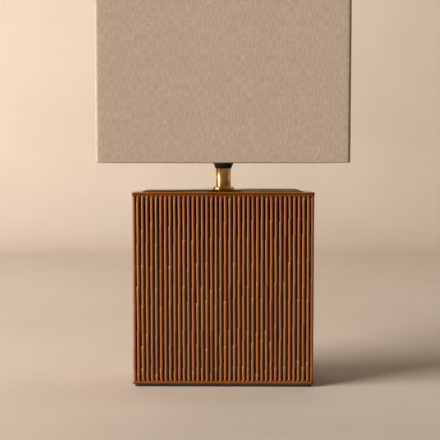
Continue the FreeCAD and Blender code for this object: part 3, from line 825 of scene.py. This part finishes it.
# %% Oatmeal linen
def oatmeal_linen():
    finish = Finish("oatmeal_linen")
    flat = finish.cloth_place()
    along = finish.part(flat, "X")
    up = finish.part(flat, "Y")
    turn = 2 * math.pi / (0.62 * MM)
    warp_slub = finish.noise(finish.stretched(flat, 1, 0.20, 1), 520, 2)
    weft_slub = finish.noise(finish.stretched(flat, 0.16, 1, 1), 620, 2)
    cloudy = finish.noise(flat, 30, 3)
    warp = (along * turn + 3.0 * warp_slub).sine()
    weft = (up * turn + 3.0 * weft_slub).sine()
    weave = 0.5 + 0.25 * (warp + weft)
    dash = 0.68 * warp_slub + 0.32 * weft_slub
    colour = finish.mix(dash.between(0.36, 0.64), paint(209, 188, 168), paint(232, 213, 195))
    colour = finish.mix(weave.between(0.0, 0.5), paint(200, 178, 156), colour)
    colour = finish.mix(cloudy.between(0.3, 0.7) * 0.3, colour, paint(206, 190, 168))
    normal = finish.bump(weave + 1.2 * dash, 0.10 * MM)
    return finish.shade(
        Base_Color=colour, Roughness=0.95, Normal=normal, Diffuse_Roughness=1.0, Specular_IOR_Level=0.15
    )


cover, cut = linen_cover()
dress(cover, "shade", oatmeal_linen(), ["shade_linen"])

# %% [markdown]
# ## Brass
#
# The neck is polished brass under clear lacquer: yellow metal with a fine turning grain that
# runs round it and draws each reflection out into an upright streak, and a few clouds of a
# browner yellow. The shader's anisotropy, turned by a quarter, stands for that grain. The
# tube's edges are eased and the flange's dome meets it in a tight corner, which is what
# catches the light, so both are turned again with rounded edges.

# %% Polished brass neck
def polished_brass():
    finish = Finish("polished_brass")
    place = finish.place()
    grain = finish.noise(finish.stretched(place, 0.03, 0.03, 1), 2600, 2)
    stain = finish.noise(place, 90, 3)
    colour = finish.mix(stain.between(0.4, 0.75), paint(246, 208, 142), paint(236, 190, 116))
    roughness = 0.26 + 0.08 * grain
    return finish.shade(
        Base_Color=colour,
        Metallic=1.0,
        Roughness=roughness,
        Anisotropic=0.9,
        Anisotropic_Rotation=0.25,
        Normal=finish.bump(grain, 0.001 * MM),
    )


flange_low, flange_high = corners_of("neck_flange")
tube_low, tube_high = corners_of("neck_tube")
tube_radius = tube_high[0]
tube_foot = tube_low[2]
tube_top = tube_high[2]


def flange_profile():
    """Bore, foot, upright edge, dome, level land and spigot, anticlockwise."""
    outer, foot_z = flange_high[0], flange_low[2]
    land = tube_radius + 1.1 * MM
    dome = arc_points((0, 0), 1, 0, 84, 10)
    dome = dome * [outer - land, tube_foot - foot_z - 1.2 * MM] + [land, foot_z + 1.2 * MM]
    spigot = tube_radius - 1.1 * MM
    start = [[5.5 * MM, foot_z], [outer - 0.4 * MM, foot_z], [outer, foot_z + 0.4 * MM]]
    end = [[land, tube_foot], [spigot, tube_foot], [spigot, flange_high[2]], [5.5 * MM, flange_high[2]]]
    return np.vstack([start, dome, end])


def tube_profile():
    bevel = 0.35 * MM
    inner = tube_radius - 1.0 * MM
    return [
        [inner, tube_foot],
        [tube_radius - bevel, tube_foot],
        [tube_radius, tube_foot + bevel],
        [tube_radius, tube_top - bevel],
        [tube_radius - bevel, tube_top],
        [inner, tube_top],
    ]


brass = polished_brass()
flange = turned_piece("brass_flange", flange_profile(), sharp=50)
tube = turned_piece("brass_tube", tube_profile(), sharp=50)
dress(flange, "lamp", brass, ["neck_flange"])
dress(tube, "lamp", brass, ["neck_tube"])

# %% [markdown]
# ## Plain finishes
#
# The pieces that keep their solids still need a surface that looks made of something. One
# function makes a family of them: two close colours clouded by noise, a roughness that varies
# with a finer noise, and a shallow bump from the same noise. What differs is the scale, the
# gloss and how deep the bump is.

# %% Materials for the kept solids
def plain_finish(name, dark, light, roughness, scale, depth, squeeze=(1, 1, 1), **more):
    finish = Finish(name)
    place = finish.stretched(finish.place(), *squeeze)
    clouds = finish.noise(place, scale / 6, 3)
    fine = finish.noise(place, scale, 3)
    colour = finish.mix((0.5 * (clouds + fine)).between(0.35, 0.65), dark, light)
    gloss = roughness + 0.18 * (fine - 0.5)
    normal = finish.bump(fine, depth * MM)
    return finish.shade(Base_Color=colour, Roughness=gloss, Normal=normal, **more)


metal = {"Metallic": 1.0}
brushed = {"squeeze": (1, 1, 3)}
plain_finishes = [
    ("base_board", (150, 112, 72), (186, 148, 102), 0.85, 900, 0.10, {}),
    ("felt", (30, 26, 22), (58, 50, 44), 0.98, 1400, 0.35, {"Sheen_Weight": 0.4}),
    ("black_rubber", (22, 22, 22), (36, 35, 34), 0.7, 1200, 0.02, {}),
    ("zinc_steel", (176, 178, 172), (206, 206, 196), 0.34, 500, 0.01, brushed | metal),
    ("black_plastic", (9, 8, 7), (16, 14, 12), 0.40, 2200, 0.02, {}),
    ("steatite", (214, 208, 196), (232, 228, 218), 0.6, 1600, 0.02, {}),
    ("contact_brass", (206, 166, 92), (226, 190, 120), 0.3, 700, 0.01, metal),
    ("white_wire", (226, 224, 218), (240, 238, 232), 0.38, 1500, 0.03, {}),
    ("white_lining", (226, 218, 202), (238, 231, 216), 0.6, 300, 0.02, {}),
    ("nickel_shell", (196, 194, 190), (222, 221, 216), 0.25, 900, 0.01, metal),
    ("dark_glass", (18, 18, 22), (34, 34, 40), 0.15, 500, 0.01, {}),
    ("white_plastic", (228, 228, 224), (238, 238, 234), 0.3, 1800, 0.01, {}),
    ("circuit_board", (198, 206, 196), (222, 228, 218), 0.4, 1200, 0.01, {}),
    ("phosphor", (222, 176, 60), (238, 198, 92), 0.45, 3000, 0.01, {}),
    ("opal_diffuser", (240, 238, 230), (248, 246, 240), 0.35, 600, 0.01, {"Subsurface_Weight": 0.3}),
]
finishes = {
    name: plain_finish(name, paint(*dark), paint(*light), roughness, scale, depth, **more)
    for name, dark, light, roughness, scale, depth, more in plain_finishes
}
print("plain finishes:", len(finishes))

# %% [markdown]
# ## Threads that climb
#
# The solids draw a screw thread as rings, which turn freely. A real thread is a helix. The
# skirt of the lampholder and the bulb's shell are turned here with a radius that depends on
# angle and height together, and fades out at both ends as a cut thread does.

# %% Lampholder, clamp ring and bulb
def helix(depth, pitch, low, high, sharpness):
    """Extra radius at an angle and a height: a wave that climbs one pitch per turn, squared up
    by its sharpness, and faded out within a third of a pitch of both ends."""
    def extra(angle, height):
        phase = 2 * math.pi * height / pitch - angle
        wave = 0.5 + 0.5 * np.tanh(sharpness * np.sin(phase)) / math.tanh(sharpness)
        ends = smoothstep((height - low) / (pitch / 3)) * smoothstep((high - height) / (pitch / 3))
        return depth * wave * ends
    return extra


def finely(start, end, step):
    """Heights from start to end, a step apart."""
    return np.linspace(start, end, max(2, int(round(abs(end - start) / step)) + 1))


def wall_profile(radius, heights):
    return np.stack([np.full(len(heights), radius), heights], -1)


shell_low, shell_high = corners_of("holder_shell")
cap_low, cap_high = corners_of("holder_cap")
skirt_radius = 19.8 * MM
skirt_thread = 0.55 * MM
shoulder = 2 * MM
socket_radius = 14.4 * MM


def holder_skirt():
    """Shoulder and threaded skirt outside; a socket with a rounded thread of its own inside."""
    low, high = shell_low[2], shell_high[2]
    outer = shell_high[0]
    top = low + shoulder
    outside = wall_profile(skirt_radius - skirt_thread, finely(top + 0.4 * MM, high - 0.6 * MM, 0.26 * MM))
    inside = wall_profile(socket_radius, finely(high - 0.6 * MM, low, 0.45 * MM))
    edge = [[socket_radius, low], [outer - 0.5 * MM, low], [outer, low + 0.5 * MM]]
    edge += [[outer, top - 0.5 * MM], [outer - 0.5 * MM, top], [skirt_radius - 0.4 * MM, top]]
    lip = [[skirt_radius - skirt_thread - 0.4 * MM, high], [socket_radius + 0.4 * MM, high]]
    profile = np.vstack([edge, outside, lip, inside[:-1]])
    rise = helix(skirt_thread, 2.6 * MM, top + 1 * MM, high - 1 * MM, 1.6)
    fall = helix(0.8 * MM, 3.6 * MM, low + 6 * MM, high - 1.5 * MM, 0.8)

    def thread(angle, height):
        on_skirt = np.zeros(len(profile), bool)
        on_skirt[len(edge) : len(edge) + len(outside)] = True
        in_socket = np.zeros(len(profile), bool)
        in_socket[len(edge) + len(outside) + len(lip) :] = True
        return rise(angle, height) * on_skirt[:, None] - fall(angle, height) * in_socket[:, None]

    return turned_piece("holder_skirt", profile, 120, thread)


def cap_shell():
    """The cap: a beaded foot, a cone, a flare and a grooved rim, with its hollow inside."""
    low, high = cap_low[2], cap_high[2]
    foot_r, cone_r, rim_r = 12.0 * MM, 17.4 * MM, 20.4 * MM
    outer = [[5.1 * MM, low], [foot_r - 0.3 * MM, low], [foot_r, low + 0.3 * MM]]
    slope = (cone_r - foot_r) / (14 * MM)
    outer += [[foot_r + slope * h, low + h] for h in (3.5 * MM, 7.5 * MM, 11 * MM, 13.4 * MM)]
    flare = arc_points((rim_r - 3.66 * MM, low + 17.6 * MM), 3.66 * MM, -79.6, 0, 8)
    rim = [[rim_r, high - 3.2 * MM], [rim_r - 0.3 * MM, high - 2.9 * MM], [rim_r - 0.3 * MM, high - 2.3 * MM]]
    rim += [[rim_r, high - 2.0 * MM], [rim_r, high - 0.3 * MM], [rim_r - 0.3 * MM, high]]
    inner = [[18.2 * MM, high], [18.2 * MM, high - 5.5 * MM], [12.9 * MM, high - 5.5 * MM]]
    inner += [[12.9 * MM, low + 12.1 * MM], [9 * MM, low + 9 * MM], [5.1 * MM, low + 9 * MM]]
    return turned_piece("holder_cone", np.vstack([outer, flare, rim, inner]), sharp=30)


def clamp_ring():
    """A flange and a hub with scallops for the fingers: the radius drops by a narrow hump at
    each of sixteen angles."""
    low, high = (corner[2] for corner in corners_of("shade_ring"))
    bore, flange_r, hub_r = 20.1 * MM, 27 * MM, 24 * MM
    step = low + 3.2 * MM
    flange = [[bore, low], [flange_r - 0.4 * MM, low], [flange_r, low + 0.4 * MM]]
    flange += [[flange_r, step - 0.4 * MM], [flange_r - 0.4 * MM, step]]
    hub = [[hub_r + 0.4 * MM, step], [hub_r, step + 0.4 * MM], [hub_r, high - 0.5 * MM]]
    hub += [[hub_r - 0.5 * MM, high], [bore + 0.3 * MM, high], [bore, high - 0.3 * MM]]
    profile = np.array(flange + hub)

    def scallops(angle, height):
        hump = np.exp(-((np.sin(angle * 8) / 0.42) ** 2))
        depth = np.where(profile[:, 0] > hub_r + 0.5 * MM, 1.5 * MM, 0.0)[:, None]
        return -depth * hump + 0 * height

    return turned_piece("clamp_ring_scalloped", profile, 192, scallops, sharp=35)


black = finishes["black_plastic"]
dress(cap_shell(), "lamp", black, ["holder_cap"])
dress(holder_skirt(), "lamp", black, ["holder_shell"])
dress(clamp_ring(), "clamp_ring", black, ["shade_ring"])

# %% [markdown]
# ## The bulb
#
# A diode bulb has a rolled metal screw, a plastic collar and an opal globe. Its screw thread is
# a smooth wave, the collar flares from it and the globe is part of a sphere that runs into a
# cone. None of it shows from the front, but it does through the top of the shade.

# %% Bulb
screw_low, screw_high = corners_of("bulb_screw")
collar_low, collar_high = corners_of("bulb_collar")
globe_low, globe_high = corners_of("bulb_envelope")


def bulb_shell():
    """The rolled screw: inside and outside follow the same wave, so the wall stays even."""
    root, wall_thickness = 12.4 * MM, 0.5 * MM
    low, high = screw_low[2], screw_high[2]
    outside = wall_profile(root, finely(low, high - 2 * MM, 0.4 * MM))
    band = [[13.2 * MM, high - 1.6 * MM], [13.2 * MM, high]]
    inside = [[11.9 * MM, high], [root - wall_thickness, low]]
    profile = np.vstack([outside, band, inside])
    wave = helix(0.8 * MM, 3.6 * MM, low, high - 2 * MM, 0.6)

    def thread(angle, height):
        on_screw = (np.arange(len(profile)) < len(outside))[:, None]
        return wave(angle, height) * on_screw

    return turned_piece("bulb_screw_rolled", profile, 96, thread, sharp=50)


def bulb_housing():
    low, high = collar_low[2], collar_high[2]
    neck, wide = 13.8 * MM, collar_high[0]
    run, rise = wide - neck, high - low - 4.5 * MM
    bend = (run**2 + rise**2) / (2 * run)
    sweep = math.degrees(math.atan2(rise, bend - run))
    flare = arc_points((neck + bend, low + 4.5 * MM), bend, 180, 180 - sweep, 14)
    outer = np.vstack([[[neck - 0.4 * MM, low], [neck, low + 0.4 * MM]], flare[:-1]])
    outer = np.vstack([outer, [[wide - 0.1 * MM, high - 0.5 * MM], [wide - 0.5 * MM, high]]])
    inner = [[wide - 5 * MM, high], [wide - 5 * MM, high - 1.5 * MM]]
    inner += [[12.3 * MM, low + 4.5 * MM], [12.3 * MM, low]]
    return turned_piece("bulb_housing", np.vstack([outer, inner]), sharp=50)


def bulb_globe():
    """A cone that runs smoothly into a sphere, with an even wall."""
    low, high = globe_low[2], globe_high[2]
    radius, foot_r, wall_thickness = globe_high[0], 22 * MM, 1.2 * MM
    centre = high - low - radius

    def skin(r, f):
        start = math.degrees(math.acos(r / math.hypot(f, centre)) - math.atan2(centre, f))
        sphere = arc_points((0, low + centre), r, start, 89.0, 28)
        return np.vstack([[[f, low]], sphere, [[0, low + centre + r]]])

    outer, inner = skin(radius, foot_r), skin(radius - wall_thickness, foot_r - wall_thickness)
    profile = np.vstack([inner[::-1], outer])
    return turned_piece("bulb_globe", profile, 96, closed=False, sharp=50)


dress(bulb_shell(), "bulb", finishes["nickel_shell"], ["bulb_screw"])
dress(bulb_housing(), "bulb", finishes["white_plastic"], ["bulb_collar"])
dress(bulb_globe(), "bulb", finishes["opal_diffuser"], ["bulb_envelope"])

# %% [markdown]
# ## Finishes on the kept solids
#
# The rest of the solids have the right shape already. The record says which slot each takes
# its finish from, so one loop hands the materials out.

# %% Hand out the finishes
finishes["amber_glaze"] = ceramic.data.materials[0]
finishes["polished_brass"] = brass
finishes["oatmeal_linen"] = cover.data.materials[0]
for sub in frame["record"]["subparts"]:
    solid = frame["nodes"][sub["node"]]
    solid.data.materials.clear()
    solid.data.materials.append(finishes[sub["material_slot"]])
print("finishes:", len(finishes))

# %% [markdown]
# ## Floor, wall and light
#
# A pale floor runs back to a pale wall in one sweep, so that no line crosses the picture. One
# large soft light stands far off at the left, well round towards the side: it rakes across the
# reeds, lights one side of each and leaves the other dark, which is what makes them read as
# round. It is far away, so that the right end of the lamp gets as much of it as the left. The
# room in front of the lamp is dark. Two fainter lights stand low at the sides, where the polished
# neck mirrors them from under the shade, and the last brightens the wall.

# %% Stage
def sweep_finish():
    finish = Finish("studio_sweep")
    clouds = finish.noise(finish.place(), 3, 2)
    colour = finish.mix(clouds.between(0.3, 0.7), paint(214, 196, 176), paint(218, 200, 181))
    return finish.shade(Base_Color=colour, Roughness=0.9)


def sweep():
    """Floor, quarter round and wall: one profile of depth and height, carried along X."""
    back, bend, top, front, half = 2.4, 0.5, 3.2, -3.0, 5.0
    curve = arc_points((back - bend, bend), bend, -90, 0, 24)
    profile = np.vstack([[[front, 0.0]], curve, [[back, top]]])
    x = np.array([-half, half])
    points = np.stack(np.broadcast_arrays(x[None, :], profile[:, :1], profile[:, 1:]), -1)
    return make_mesh("sweep", points, grid_quads(len(profile), 2, closed_columns=False))


studio = sweep()
studio.data.materials.append(sweep_finish())


def soft_light(name, azimuth, elevation, distance, width, height, power, colour, target=(0, 0, 0.25)):
    """A rectangular light on a circle round the lamp. Azimuth is measured from the front,
    positive to the right, and the light faces its target."""
    lamp = bpy.data.lights.new(name, "AREA")
    lamp.shape = "RECTANGLE"
    lamp.size = width
    lamp.size_y = height
    lamp.energy = power
    lamp.color = colour
    made = bpy.data.objects.new(name, lamp)
    turn, rise = math.radians(azimuth), math.radians(elevation)
    out = np.array([math.sin(turn) * math.cos(rise), -math.cos(turn) * math.cos(rise), math.sin(rise)])
    made.location = np.array(target) + distance * out
    aim = -out
    made.rotation_euler = (
        math.acos(-aim[2]),
        0,
        math.atan2(aim[1], aim[0]) - math.pi / 2,
    )
    made.visible_camera = False
    bpy.context.scene.collection.objects.link(made)
    return made


soft_light("key", -69, 18.5, 4.0, 2.3, 1.9, 262, (1.0, 0.99, 0.97))
soft_light("low_left", -76, 3, 3.4, 2.0, 1.0, 28, (1.0, 0.95, 0.9), target=(0, 0, 0.3))
soft_light("low_right", 98, 3, 3.0, 1.8, 1.0, 5, (1.0, 0.9, 0.82), target=(0, 0, 0.3))
soft_light("wall_light", 20, 50, 2.2, 1.5, 1.0, 12, (1.0, 0.98, 0.96), target=(0, 2.2, 0.8))
world = bpy.data.worlds.new("room")
world.use_nodes = True
world.node_tree.nodes["Background"].inputs["Color"].default_value = (0.022, 0.020, 0.019, 1)
world.node_tree.nodes["Background"].inputs["Strength"].default_value = 1.0
bpy.context.scene.world = world
bpy.context.scene.view_settings.view_transform = "Standard"
